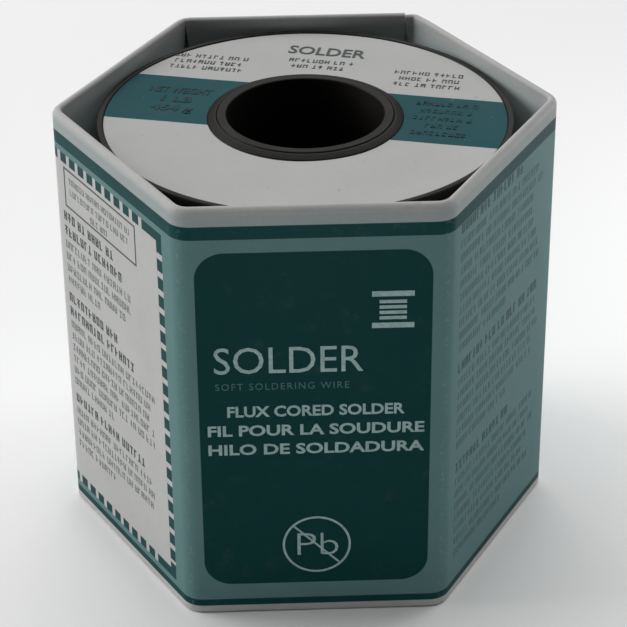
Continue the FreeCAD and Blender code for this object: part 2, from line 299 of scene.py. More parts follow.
def printed_colours(shader, across, up):
    """The sleeve's print, from the distance round the blank and the height, with painted shade over
    the top margin, a painted highlight along the folds and painted light on the hems' inner legs.
    """
    field = shader.between(up, BASE_STRIPE[1], TOP_STRIPE[0])
    top_stripe, base_stripe = shader.between(up, *TOP_STRIPE), shader.between(up, *BASE_STRIPE)
    print_ = shader.mix(field, PAPER, TINT)
    print_ = dashed_notice(shader, print_, across, up)
    print_ = front_panel(shader, print_, across, up)
    print_ = shader.mix(shader.math("MAXIMUM", top_stripe, base_stripe), print_, STRIPE_TEAL)
    # Painted shade: the margin above the top stripe is darker than the paper.
    print_ = shader.mix(shader.above(up, TOP_STRIPE[1]), print_, MARGIN_SHADE)
    past_rim = shader.less(shader.away(up, HEIGHT / 2), HEIGHT / 2)
    # Painted highlight over the last 1.2 mm below each fold and over the fold.
    print_ = shader.mix(shader.ramp(past_rim, -1.2 * MM, -0.2 * MM), print_, FOLD_HIGHLIGHT)
    # Painted light on the hems' inner legs: past the fold they turn to a teal tint lighter than the
    # paper.
    return shader.mix(shader.ramp(past_rim, 0.8 * MM, 4 * MM), print_, LEG_TINT_AND_LIGHT)


# ---------------- materials


def make_printed_board():
    """Coated board: its print, rubbed through in patches along the corners and folds, partly wear
    and partly a painted highlight, and a little soiled.
    """
    shader = Shader("printed_board", Specular_IOR_Level=0.05)
    across, up = shader.surface("sheet")
    print_ = printed_colours(shader, across, up)

    mottle = shader.noise(7 * MM, 5.0, 0.65)
    grain = shader.noise(0.35 * MM, 2.0)
    tone = shader.add(shader.vary(mottle, 0.95, 1.03), shader.vary(grain, -0.03, 0.03))
    print_ = shader.shaded(print_, tone)

    from_corner = shader.away(shader.math("FLOORED_MODULO", across, PITCH), PITCH / 2)
    from_edge = shader.math("MINIMUM", shader.math("ABSOLUTE", up), shader.away(up, HEIGHT))
    # The paper shows through in patches near the corners and rims: partly wear, partly a painted
    # highlight where the rounded corners and folds catch the light.
    patches = shader.noise(0.7 * MM, 6.0, 0.75)
    near_corner = shader.ramp(from_corner, 0.0, 1.8 * MM, 0.56, 0.84)
    near_edge = shader.ramp(from_edge, 0.6 * MM, 2.4 * MM, 0.60, 0.85)
    holds = shader.math("MINIMUM", near_corner, near_edge)  # how much rubbing the ink withstands
    wear_and_highlight = shader.ramp(shader.less(patches, holds), -0.06, 0.14)
    print_ = shader.mix(shader.product(wear_and_highlight, 0.28), print_, PAPER)

    soil = shader.ramp(shader.noise(3.5 * MM, 6.0, 0.75), 0.56, 0.76, 0.0, 0.35)
    soil = shader.product(soil, shader.ramp(from_edge, 0.0, 4 * MM, 1.0, 0.25))
    print_ = shader.mix(soil, print_, SOIL)

    roughness = shader.add(
        shader.vary(mottle, 0.36, 0.46), shader.product(wear_and_highlight, 0.25),
        shader.vary(grain, -0.02, 0.02),
    )
    wavy = shader.bump(shader.noise(22 * MM, 1.0), 0.45 * MM)
    fibrous = shader.bump(shader.noise(0.5 * MM, 4.0, 0.6), 0.009 * MM, wavy)
    return shader.set(Base_Color=print_, Roughness=roughness, Normal=fibrous)


def make_raw_board(name, pulp_tone):
    """Uncoated board, as on its back and its cut edges, with flecks of recycled fibre."""
    shader = Shader(name, Specular_IOR_Level=0.2)
    fibres = shader.noise(0.6 * MM, 6.0, 0.75)
    flecks = shader.ramp(shader.noise(0.28 * MM, 2.0), 0.66, 0.72)
    pulp = shader.vary(shader.noise(5 * MM, 3.0), 0.88, 1.1)
    tone = shader.shaded(pulp_tone, shader.add(pulp, shader.vary(fibres, -0.12, 0.12)))
    tone = shader.mix(shader.product(flecks, 0.5), tone, FLECK)
    roughness = shader.vary(fibres, 0.78, 0.95)
    return shader.set(Base_Color=tone, Roughness=roughness, Normal=shader.bump(fibres, 0.03 * MM))


LABEL_TURN = math.radians(-13.4)  # how far the top label was stuck on askew
LABEL_BAND = (-5.05 * MM, 9.45 * MM)  # from the label's middle to the band's two edges


def make_label_paper(name, turn):
    """Printed label paper: white with a teal band across it, lightly dusty and scuffed."""
    shader = Shader(name, Specular_IOR_Level=0.07)
    inputs = {"Vector": shader.position, "Rotation": (0, 0, -turn)}
    up = shader.parts(shader.node("Mapping", inputs).outputs[0])[1]
    mottle = shader.noise(8 * MM, 5.0, 0.6)
    grain = shader.noise(0.3 * MM, 3.0)
    print_ = shader.mix(shader.between(up, *LABEL_BAND), PAPER, BAND_TEAL)
    tone = shader.add(shader.vary(mottle, 0.955, 1.02), shader.vary(grain, -0.02, 0.02))
    print_ = shader.shaded(print_, tone)
    specks = shader.ramp(shader.noise(0.9 * MM, 3.0), 0.735, 0.76, 0.0, 0.55)
    print_ = shader.mix(specks, print_, SPECK)
    roughness = shader.vary(mottle, 0.42, 0.54)
    wavy = shader.bump(shader.noise(14 * MM, 1.0), 0.12 * MM)
    fine = shader.bump(shader.noise(0.4 * MM, 4.0, 0.6), 0.006 * MM, wavy)
    return shader.set(Base_Color=print_, Roughness=roughness, Normal=fine)


def make_plastic():
    """Black moulded plastic, fine grained, with dust in it and pale rub marks."""
    shader = Shader("black_plastic", Specular_IOR_Level=0.14)
    x, y, z = shader.parts(shader.position)
    radius = shader.math("SQRT", shader.add(shader.product(x, x), shader.product(y, y)))
    cloud = shader.noise(6 * MM, 5.0, 0.65)
    grain = shader.noise(0.22 * MM, 3.0)
    section = shader.point(radius, shader.product(z, 0.6))
    turning = shader.noise(0.5 * MM, vector=section)
    dust = shader.ramp(shader.noise(0.45 * MM, 4.0, 0.7), 0.69, 0.76, 0.0, 0.5)
    rubs = shader.ramp(shader.noise(2.4 * MM, 7.0, 0.8), 0.6, 0.78, 0.0, 0.30)
    tone = shader.mix(cloud, PLASTIC_DARK, PLASTIC_PALE)
    tone = shader.mix(rubs, tone, PLASTIC_RUB)
    tone = shader.mix(dust, tone, DUST)
    roughness = shader.add(
        shader.vary(cloud, 0.42, 0.54), shader.vary(turning, -0.03, 0.03),
        shader.product(dust, 0.4),
    )
    ringed = shader.bump(turning, 0.004 * MM)
    grained = shader.bump(grain, 0.008 * MM, ringed)
    return shader.set(Base_Color=tone, Roughness=roughness, Normal=grained)


def make_solder():
    """Drawn solder: bright soft metal with die lines along it and grey oxide."""
    shader = Shader("solder_wire", Metallic=1.0)
    along, around = shader.surface("wire")
    stretched = shader.point(shader.product(along, 0.02), around)
    drawn = shader.noise(0.09 * MM, 3.0, 0.6, stretched)
    oxide = shader.noise(2.8 * MM, 6.0, 0.7)
    nicks = shader.ramp(shader.noise(0.5 * MM, 3.0), 0.68, 0.74)
    tone = shader.mix(shader.ramp(oxide, 0.35, 0.68), SOLDER_BRIGHT, SOLDER_DULL)
    tone = shader.shaded(tone, shader.vary(drawn, 0.93, 1.05))
    roughness = shader.add(
        shader.vary(oxide, 0.24, 0.42), shader.product(nicks, 0.12),
        shader.vary(drawn, -0.05, 0.05),
    )
    scored = shader.bump(drawn, 0.006 * MM)
    nicked = shader.bump(nicks, 0.004 * MM, scored)
    return shader.set(Base_Color=tone, Roughness=roughness, Normal=nicked)


def make_flux():
    """The amber flux that fills the wire's core and shows at its cut end."""
    shader = Shader("flux", Specular_IOR_Level=0.5)
    resin = shader.noise(0.12 * MM, 3.0)
    tone = shader.mix(resin, FLUX_DARK, FLUX_PALE)
    roughness = shader.vary(resin, 0.25, 0.5)
    return shader.set(Base_Color=tone, Roughness=roughness)


def make_ink(name, tone, worn=0.35):
    """A thin film of ink, uneven and rubbed away in places to a shade of itself."""
    shader = Shader(name, Specular_IOR_Level=0.12)
    patchy = shader.noise(0.7 * MM, 5.0, 0.7)
    broad = shader.noise(6 * MM, 3.0)
    holding = shader.ramp(patchy, 0.35, 0.75, 1.04, 1.0 - worn)
    tone = shader.shaded(tone, shader.add(holding, shader.vary(broad, -0.05, 0.05)))
    roughness = shader.vary(patchy, 0.38, 0.5)
    rough = shader.bump(shader.noise(0.4 * MM, 3.0), 0.005 * MM)
    return shader.set(Base_Color=tone, Roughness=roughness, Normal=rough)


def make_floor_finish():
    shader = Shader("studio_floor", Specular_IOR_Level=0.1)
    cloud = shader.noise(0.6, 3.0)
    tone = shader.shaded(FLOOR_WHITE, shader.vary(cloud, 0.99, 1.01))
    return shader.set(Base_Color=tone, Roughness=shader.vary(cloud, 0.72, 0.8))


PRINTED_BOARD = make_printed_board()
RAW_BOARD = make_raw_board("raw_board", GREY_BOARD)
CUT_EDGE = make_raw_board("cut_board_edge", CUT_BOARD)
TOP_PAPER = make_label_paper("top_label_paper", LABEL_TURN)
BASE_PAPER = make_label_paper("base_label_paper", 0.0)
PLASTIC = make_plastic()
SOLDER = make_solder()
FLUX = make_flux()
PALE_INK = make_ink("pale_ink", rgb(0.34, 0.50, 0.485))
FAINT_INK = make_ink("faint_ink", rgb(0.075, 0.18, 0.185))
DARK_INK = make_ink("dark_ink", rgb(0.065, 0.08, 0.077), 0.1)
GREY_INK = make_ink("grey_ink", rgb(0.14, 0.16, 0.155), 0.1)
SHADE_INK = make_ink("shade_ink", rgb(0.076, 0.155, 0.158), 0.1)
DIM_INK = make_ink("dim_ink", rgb(0.042, 0.090, 0.092), 0.1)
BAND_INK = make_ink("band_ink", rgb(0.008, 0.038, 0.044), 0.1)


# ---------------- mesh helpers


def add_object(name, data):
    made = bpy.data.objects.new(name, data)
    bpy.context.scene.collection.objects.link(made)
    return made


class Form:
    """One piece's points, each with its flat coordinate, and faces, each with its material."""

    def __init__(self):
        self.points, self.flat = [], []
        self.faces, self.kinds = [], []

    def point(self, place, flat):
        self.points.append(place)
        self.flat.append(flat)
        return len(self.points) - 1

    def face(self, corners, kind=0):
        self.faces.append(tuple(corners))
        self.kinds.append(kind)

    def rows(self, first, second, kind=0, closed=False):
        """Faces between two equally long rows of points."""
        count = len(first)
        for at in range(count if closed else count - 1):
            after = (at + 1) % count
            self.face((first[at], first[after], second[after], second[at]), kind)

    def piece(self, name, materials, body, slot, replaces=(), layer="sheet", sharp=32):
        mesh = bpy.data.meshes.new(name)
        mesh.from_pydata(self.points, [], self.faces)
        mesh.polygons.foreach_set("material_index", self.kinds)
        coordinates = mesh.uv_layers.new(name=layer)
        corners = [0] * len(mesh.loops)
        mesh.loops.foreach_get("vertex_index", corners)
        coordinates.data.foreach_set("uv", [v for corner in corners for v in self.flat[corner]])
        for material in materials:
            mesh.materials.append(material)
        shape = bmesh.new()
        shape.from_mesh(mesh)
        bmesh.ops.recalc_face_normals(shape, faces=shape.faces)
        shape.to_mesh(mesh)
        shape.free()
        mesh.shade_smooth()
        mesh.set_sharp_from_angle(angle=math.radians(sharp))
        made = add_object(name, mesh)
        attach(made, body)
        if replaces:
            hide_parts(*replaces)


def spread(low, high, count):
    """Evenly spaced values from low to high, both included."""
    return [low + (high - low) * at / (count - 1) for at in range(count)]


def within(share):
    return min(1.0, max(0.0, share))


def eased(share):
    return within(share) ** 2 * (3 - 2 * within(share))


def waver(*place):
    """Smooth noise from -1 to 1 that is the same at each run."""
    return noise.noise(Vector((*place, 0.0, 0.0)[:3]))


def polar(radius, angle, up=0.0):
    return Vector((radius * math.cos(angle), radius * math.sin(angle), up))


def softened(corners, cut, steps=4):
    """A closed outline with rounded corners: cut is how much of its sides a corner takes off,
    unless the corner has its own, third number for that."""
    outline = []
    for at, corner in enumerate(corners):
        here = Vector(corner[:2])
        before = Vector(corners[at - 1][:2])
        after = Vector(corners[(at + 1) % len(corners)][:2])
        take = corner[2] if len(corner) > 2 else cut
        if take <= 0:
            outline.append(here)
            continue
        take = min(take, 0.45 * (before - here).length, 0.45 * (after - here).length)
        start = here + (before - here).normalized() * take
        end = here + (after - here).normalized() * take
        for share in spread(0.0, 1.0, steps):
            ends = start * (1 - share) ** 2 + end * share**2
            outline.append(ends + here * 2 * share * (1 - share))
    return outline


def revolve(form, outline, segments):
    """Turns a closed outline of (radius, height) round the Z axis."""
    rings = []
    for at in range(segments):
        angle = TAU * at / segments
        rings.append([form.point(polar(v.x, angle, v.y), (v.x * angle, v.y)) for v in outline])
    for at, ring in enumerate(rings):
        form.rows(rings[at - 1], ring, closed=True)


def wall_point(across, up, lift):
    """Where a point of the printed blank is: distance round it, height, and distance out of it."""
    side = math.floor(across / PITCH + 0.5)
    along = across - side * PITCH
    normal = side * SIXTH - TAU / 4
    flat = math.copysign(min(abs(along), FLAT_HALF), along)
    turned = normal + math.copysign(max(0.0, abs(along) - FLAT_HALF) / CORNER_RADIUS, along)
    centre = APOTHEM - CORNER_RADIUS
    reach = CORNER_RADIUS + lift
    return Vector((
        centre * math.cos(normal) - flat * math.sin(normal) + reach * math.cos(turned),
        centre * math.sin(normal) + flat * math.cos(normal) + reach * math.sin(turned),
        up,
    ))


# ---------------- the board sleeve

SHEET = [PRINTED_BOARD, RAW_BOARD, CUT_EDGE]  # the blank's face, back and edges
FOLD_START = 1.12 * MM  # how far inside the rim the wall ends and a hem's fold begins
SEAM_TUCK = 0.2 * MM  # how far the blank's end goes past the seam, under the back side
CORNER_STEPS = 8
WALL_ROWS = 14


def wall_columns():
    """Where the wall's columns of points stand round the blank, from the seam to the seam."""
    columns = []
    for side in range(BACK, BACK + SIDES):
        middle = side * PITCH
        columns += [middle + along for along in spread(-FLAT_HALF, FLAT_HALF, 11)]
        bends = spread(0.0, CORNER_RADIUS * SIXTH, CORNER_STEPS + 1)
        columns += [middle + FLAT_HALF + bend for bend in bends[1:-1]]
    end = (BACK + SIDES) * PITCH - FLAT_HALF
    return [*columns, end, end + SEAM_TUCK]


def seam_sink(across):
    """How far the blank's last corner dives under the back side's cut edge."""
    bend = CORNER_RADIUS * SIXTH
    start = (BACK + SIDES) * PITCH - FLAT_HALF - bend
    return BOARD * eased((across - start) / bend)


def make_wall():
    """The sleeve's six sides, one strip of board bent round and closed at the back right corner."""
    form = Form()
    outer, inner = [], []
    heights = spread(FOLD_START, HEIGHT - FOLD_START, WALL_ROWS)
    for across in wall_columns():
        for layer, depth in ((outer, INK_LIFT), (inner, BOARD)):
            lift = -depth - seam_sink(across)
            layer.append([form.point(wall_point(across, up, lift), (across, up)) for up in heights])
    for at in range(len(outer) - 1):
        form.rows(outer[at], outer[at + 1], 0)
        form.rows(inner[at], inner[at + 1], 1)
        for end in (0, -1):
            edge = (outer[at][end], outer[at + 1][end], inner[at + 1][end], inner[at][end])
            form.face(edge, 2)
    form.rows(outer[0], inner[0], 2)
    form.rows(outer[-1], inner[-1], 2)
    form.piece("sleeve_wall_board", SHEET, "sleeve", "printed_board", ["sleeve_wall"])


FOLD_RADIUS = 0.45 * MM
TOP_ROLL = (0.8 * MM, 1.0 * MM)  # a top fold's outer side is a softer roll, this wide and tall
FOLD_GAP = 0.01 * MM  # from the end of a hem's fold to the middle of the corner
HEM_CORNER = 2.0 * MM
HEM_SPRING = 0.22 * MM  # how far a leg's free edge stands away from the wall
HEM_DIP = 0.07 * MM  # how much the folded edge wanders below the full height


def hem_profile(end, spring, dip, roll):
    """A hem's section in (depth, height) points: the printed face over the fold, and the back."""
    crown = HEIGHT - dip
    bend = crown - FOLD_RADIUS
    width = 2 * BOARD
    quarter = spread(0.0, TAU / 4, 9)
    shares = spread(0.0, 1.0, 9)[1:]
    leg = [(spring * share**1.6, bend - (bend - end) * share) for share in shares]
    face = [(INK_LIFT, HEIGHT - FOLD_START)]
    for angle in quarter:
        turned = INK_LIFT + roll[0] * (1 - math.cos(angle))
        face.append((turned, crown - roll[1] * (1 - math.sin(angle))))
    for angle in quarter:
        turned = width - FOLD_RADIUS * (1 - math.sin(angle))
        face.append((turned, crown - FOLD_RADIUS * (1 - math.cos(angle))))
    face += [(width + bow, up) for bow, up in leg]
    back = [(BOARD + bow, up) for bow, up in reversed(leg)]
    return face, [*back, (BOARD, HEIGHT - FOLD_START)]


def hem_columns():
    """Where a hem's columns of points stand along its free edge, closer together at its ends."""
    bend = [HEM_HALF - HEM_CORNER * (1 - math.sin(angle)) for angle in spread(0.0, TAU / 4, 8)]
    middle = spread(-bend[0], bend[0], 12)
    return [*[-along for along in bend[::-1]], *middle[1:-1], *bend]


def hem_flare(side, along, below):
    """How much wider than its free edge a hem is at this depth: its ends reach for the corners."""
    at_fold = PITCH / 2 - FOLD_GAP
    if side == BACK and along < 0:
        at_fold = FLAT_HALF
    elif side == BACK_RIGHT and along > 0:
        at_fold = PITCH - FLAT_HALF - FOLD_GAP
    share = within((below - FOLD_START) / (HEM_DEPTH - FOLD_START))
    return 1 + (at_fold / HEM_HALF - 1) * (1 - share)


def make_hem(number, at_base):
    """A hem: the board folded back over the wall's edge, its ends mitred and its corners round."""
    side = BACK + number - 1
    roll = (FOLD_RADIUS, FOLD_RADIUS) if at_base else TOP_ROLL
    seed = number * 7.7 + (50 if at_base else 0)
    form = Form()
    rows = []
    for along in hem_columns():
        past = max(0.0, abs(along) - (HEM_HALF - HEM_CORNER))
        rise = HEM_CORNER - math.sqrt(max(0.0, HEM_CORNER**2 - past**2))
        spring = HEM_SPRING * (0.75 + 0.25 * waver(along * 90, seed))
        dip = HEM_DIP * (0.5 + 0.5 * waver(along * 160, seed + 3))
        face, back = hem_profile(HEIGHT - HEM_DEPTH + rise, spring, dip, roll)
        row, way = [], 0.0
        for at, (depth, up) in enumerate([*face, *back]):
            if 0 < at < len(face):
                way += math.dist(face[at - 1], face[at])
            across = side * PITCH + along * hem_flare(side, along, HEIGHT - up)
            sheet = HEIGHT - FOLD_START + way
            if at_base:
                up, sheet = HEIGHT - up, HEIGHT - sheet
            place = wall_point(across, up, -depth - seam_sink(across))
            row.append(form.point(place, (across, sheet)))
        rows.append(row)
    for first, second in zip(rows, rows[1:]):
        for at in range(len(first)):
            kind = 0 if 0 < at < len(face) else 1
            form.face((first[at - 1], first[at], second[at], second[at - 1]), kind)
    form.face(rows[0], 2)
    form.face(rows[-1], 2)
    name, node = ("base_hem", "bottom_flap") if at_base else ("top_hem", "top_flap")
    form.piece(f"{name}_{number}", SHEET, "sleeve", "board_hem", [f"{node}_{number}"])


def make_glue_tab():
    """The lap that the seam is glued by, tapered at both ends, lying inside the back side."""
    form = Form()
    folded, free = FLAT_HALF - 0.1 * MM, lap_low.x
    taper, buckle = 2.5 * MM, 0.04 * MM
    layers = []
    for lift in (-BOARD, -2 * BOARD):
        rows = []
        for share in spread(0.0, 1.0, 9):
            x = folded + (free - folded) * share
            low = lap_low.z + taper * share
            high = lap_high.z - taper * share
            y = APOTHEM + lift
            if lift < -BOARD:
                y += buckle * waver(share * 5, 9.0)
            rows.append([form.point(Vector((x, y, up)), (x, up)) for up in spread(low, high, 12)])
        layers.append(rows)
    for rows in layers:
        for first, second in zip(rows, rows[1:]):
            form.rows(first, second)
    for end in (0, -1):
        form.rows(layers[0][end], layers[1][end])
        edge = [[row[end] for row in rows] for rows in layers]
        form.rows(edge[0], edge[1])
    form.piece("glue_tab", [RAW_BOARD], "sleeve", "plain_board", ["glue_lap"])


make_wall()
for number in range(1, SIDES + 1):
    make_hem(number, at_base=False)
    make_hem(number, at_base=True)
make_glue_tab()


# ---------------- the spool

RIM_WIDTH = 0.85 * MM
RIM_ROUND = 0.35 * MM
RIM_TAPER = (1.1 * MM, 0.9 * MM)  # the slope from the winding side to the rim: width and height
SEAT_DEPTH = 0.25 * MM
SEAT_STEP = 0.12 * MM
SEAT_ROUND = 0.08 * MM
EDGE_ROUND = 0.1 * MM
BOSS_RADIUS = 13.6 * MM
BOSS_TOP_RADIUS = 12.7 * MM
BOSS_DROP = 0.05 * MM  # how far below the rim the boss starts to slope
TUBE_OVERLAP = 0.01 * MM  # how far the flanges reach into the tube
TUBE_CHAMFER = 0.28 * MM
BORE_RELIEF = 0.06 * MM  # how much wider the bore's radius is in the middle
FLANGE_SEGMENTS = 256
RING_SEGMENTS = 192  # round the tube and the labels
LABEL_GAP = 0.15 * MM  # between the label's hole and the boss
LABEL_SAG = 0.035 * MM


def flange_outline(facing, inner_face, outer_face, rim_drop):
    """A flange's section: a raised rim, the label's seat, and a boss sloping up to the tube."""
    rim_face = outer_face - facing * rim_drop
    rim_inside = FLANGE_RADIUS - RIM_WIDTH
    seat = rim_face - facing * SEAT_DEPTH
    tube = BARREL_RADIUS - TUBE_OVERLAP
    return softened([
        (tube, inner_face, 0.0),
        (FLANGE_RADIUS - RIM_TAPER[0], inner_face, 2 * EDGE_ROUND),
        (FLANGE_RADIUS, inner_face + facing * RIM_TAPER[1], RIM_ROUND),
        (FLANGE_RADIUS, rim_face, RIM_ROUND),
        (rim_inside, rim_face),
        (rim_inside - SEAT_STEP, seat, SEAT_ROUND),
        (BOSS_RADIUS + SEAT_STEP, seat, SEAT_ROUND),
        (BOSS_RADIUS, rim_face - facing * BOSS_DROP),
        (BOSS_TOP_RADIUS, outer_face, 1.2 * EDGE_ROUND),
        (BARREL_RADIUS + SEAT_ROUND, outer_face, EDGE_ROUND / 2),
        (tube, outer_face - facing * 1.5 * EDGE_ROUND, 0.0),
    ], EDGE_ROUND)


def make_flange(name, facing, inner_face, outer_face, node):
    rim_drop = flange_high.z - (label_low.z + SEAT_DEPTH)
    form = Form()
    revolve(form, flange_outline(facing, inner_face, outer_face, rim_drop), FLANGE_SEGMENTS)
    form.piece(name, [PLASTIC], "spool", "black_plastic", [node])


def make_tube():
    """The spool's tube, chamfered at its ends, its bore a touch wider in the middle."""
    form = Form()
    revolve(form, softened([
        (BORE_RADIUS, 0.0), (BARREL_RADIUS, 0.0), (BARREL_RADIUS, SPOOL_LENGTH),
        (BORE_RADIUS, SPOOL_LENGTH), (BORE_RADIUS + BORE_RELIEF, SPOOL_LENGTH / 2, EDGE_ROUND / 2),
    ], TUBE_CHAMFER, steps=5), RING_SEGMENTS)
    form.piece("spool_tube", [PLASTIC], "spool", "black_plastic", ["core_barrel"])


def make_label(name, paper, facing, low, high, node):
    """A ring of label paper, lying a little unevenly in its seat."""
    form = Form()
    radii = spread(BOSS_RADIUS + LABEL_GAP, LABEL_RADIUS, 14)
    outline = [Vector((radius, low.z)) for radius in radii]
    outline += [Vector((radius, high.z)) for radius in reversed(radii)]
    revolve(form, outline, RING_SEGMENTS)
    form.flat = [(place.x, place.y) for place in form.points]
    for place in form.points:
        place.z -= facing * LABEL_SAG * (1 + waver(place.x * 130, place.y * 130))
    form.piece(name, [paper], "spool", "label_paper", [node])


def wire_along(form, centres, sides, pinched=0.0):
    """A round wire along the centres, pinched at its last end; returns its rings of points."""
    rings, way = [], 0.0
    for at, centre in enumerate(centres):
        before, after = centres[max(0, at - 1)], centres[min(len(centres) - 1, at + 1)]
        ahead = (after - before).normalized()
        out = ahead.cross(Vector((0, 0, 1))).normalized()
        over = out.cross(ahead)
        if at:
            way += (centre - centres[at - 1]).length
        left = sum((b - a).length for a, b in zip(centres[at:], centres[at + 1:at + 4]))
        squeeze = 1.0 - pinched * (1 - eased(left / WIRE_RADIUS))
        ring = []
        for step in range(sides):
            angle = TAU * step / sides
            place = centre + out * WIRE_RADIUS * squeeze * math.cos(angle)
            place += over * WIRE_RADIUS * math.sin(angle)
            ring.append(form.point(place, (way, WIRE_RADIUS * angle)))
        rings.append(ring)
    for first, second in zip(rings, rings[1:]):
        form.rows(first, second, closed=True)
    return rings


def make_winding():
    """The wire on the spool: its outer layer turn by turn, over the layers packed beneath."""
    form = Form()
    clear = 0.02 * MM
    low = winding_low.z + WIRE_RADIUS + clear
    high = winding_high.z - WIRE_RADIUS - clear
    turns = math.floor((high - low) / (2 * WIRE_RADIUS))
    per_turn = 84
    centre_radius = WINDING_RADIUS - WIRE_RADIUS - clear
    centres = []
    for at in range(turns * per_turn + 1):
        turn = at / per_turn
        angle = TAU * turn
        wander = waver(math.cos(angle) * 1.3, math.sin(angle) * 1.3, turn * 0.35)
        radius = centre_radius + clear * (wander - 1)
        centres.append(polar(radius, angle, low + (high - low) * turn / turns))
    rings = wire_along(form, centres, 8)
    form.face(rings[0])
    form.face(rings[-1])
    under = centre_radius - 0.28 * MM  # the layers beneath, as one core with a wavy face
    waves, corner = 0.03 * MM, 0.1 * MM
    low, high = winding_low.z + clear, winding_high.z - clear
    beneath = [(BARREL_RADIUS, low), (under, low, corner)]
    for up in spread(low, high, 60)[1:-1]:
        beneath.append((under + waves * waver(up * 700), up))
    beneath += [(under, high, corner), (BARREL_RADIUS, high)]
    revolve(form, softened(beneath, 0.0), 96)
    form.piece("solder_winding", [SOLDER], "spool", "solder_wire", ["wire_winding"], "wire", 60)


def make_wire_end():
    """The last turn of wire and its snipped end, where the flux in its core shows."""
    start, sweep = math.radians(-70), math.radians(285)
    tail, bow, droop = 7 * MM, 0.25 * MM, 0.15 * MM
    dive, climb = 0.5 * MM, 0.3 * MM  # into the winding at its start, and up the spool
    loose, unlevel = 0.04 * MM, 0.05 * MM
    core_share, hollow = 0.42, 0.05 * MM
    middle = (end_low.z + end_high.z) / 2
    resting = WINDING_RADIUS + WIRE_RADIUS + 0.03 * MM
    centres = []
    steps = 140
    for at in range(steps + 1):
        share = at / steps
        angle = start + sweep * share
        sunk = dive * (1 - eased(share / 0.06))
        radius = resting - sunk + loose * (1 + waver(share * 9, 4.0))
        up = middle + climb * (2 * share - 1) + unlevel * waver(share * 7, 2.0)
        centres.append(polar(radius, angle, up))
    outward, ahead = polar(1.0, start + sweep), polar(1.0, start + sweep + TAU / 4)
    for share in spread(0.0, 1.0, 15)[1:]:
        reach = ahead * tail * share + outward * bow * math.sin(math.pi * share)
        centres.append(centres[steps] + reach - Vector((0, 0, droop * share**2)))
    form = Form()
    rings = wire_along(form, centres, 20, pinched=0.45)
    form.face(rings[0])
    cap = rings[-1]
    centre = sum((form.points[v] for v in cap), Vector()) / len(cap)
    inner = [centre + (form.points[v] - centre) * core_share for v in cap]
    core = [form.point(place, form.flat[v]) for place, v in zip(inner, cap)]
    form.rows(cap, core, closed=True)
    sunk = [form.point(form.points[v] - ahead * hollow, form.flat[v]) for v in core]
    form.rows(core, sunk, 1, closed=True)
    form.face(sunk, 1)
    materials = [SOLDER, FLUX]
    form.piece("loose_wire_end", materials, "wire_end", "solder_wire", ["wire_end"], "wire", 60)


make_flange("top_flange_moulding", 1, flange_low.z, flange_high.z, "upper_flange")
make_flange("base_flange_moulding", -1, base_high.z, base_low.z, "lower_flange")
make_tube()
make_label("top_label_ring", TOP_PAPER, 1, label_low, label_high, "top_label")
make_label("base_label_ring", BASE_PAPER, -1, base_label_low, base_label_high, "bottom_label")
make_winding()
make_wire_end()


# ---------------- lettering and small marks

CAP_SHARE = 0.70  # a capital's height as a share of the type size
RING_STEPS = 96
SLASH_STEPS = 8
INK_BED = 0.02 * MM  # how deep a mark's foot lies in the sleeve's surface
LABEL_INK = 0.03 * MM  # how far a mark stands out of a label
LABEL_BED = 0.10 * MM  # how deep its foot lies, under the label's unevenness


